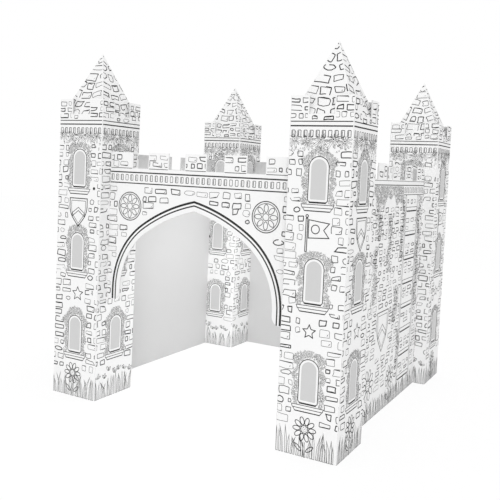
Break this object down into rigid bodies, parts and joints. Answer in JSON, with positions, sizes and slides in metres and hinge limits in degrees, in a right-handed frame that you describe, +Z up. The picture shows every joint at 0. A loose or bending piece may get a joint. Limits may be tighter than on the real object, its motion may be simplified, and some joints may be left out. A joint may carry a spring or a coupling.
{
  "type": "cardboard castle",
  "caption": "Free-standing cardboard play castle to colour in: square corner towers with pyramid roofs, joined by battlemented walls, with an arched gateway in the front.",
  "frame": {"origin": "on the floor, under the middle of the castle", "axes": "+Z up, +Y from the gateway to the back wall, +X to the right as seen from the front"},
  "size_m": [1.12, 1.12, 1.232],
  "materials": {
    "tower_card": "matt white-lined corrugated board, grey inside",
    "roof_card": "matt white-lined corrugated board, grey inside",
    "wall_card": "matt white-lined corrugated board, grey inside",
    "black_ink": "matt black line print",
    "grey_ink": "matt light grey print"
  },
  "bodies": {
    "root": {"tower_front_left": "tower_card", "tower_front_right": "tower_card", "tower_back_right": "tower_card", "tower_back_left": "tower_card", "roof_front_left": "roof_card", "roof_front_right": "roof_card", "roof_back_right": "roof_card", "roof_back_left": "roof_card", "wall_front": "wall_card", "wall_right": "wall_card", "wall_back": "wall_card", "wall_left": "wall_card"}
  },
  "joints": []
}
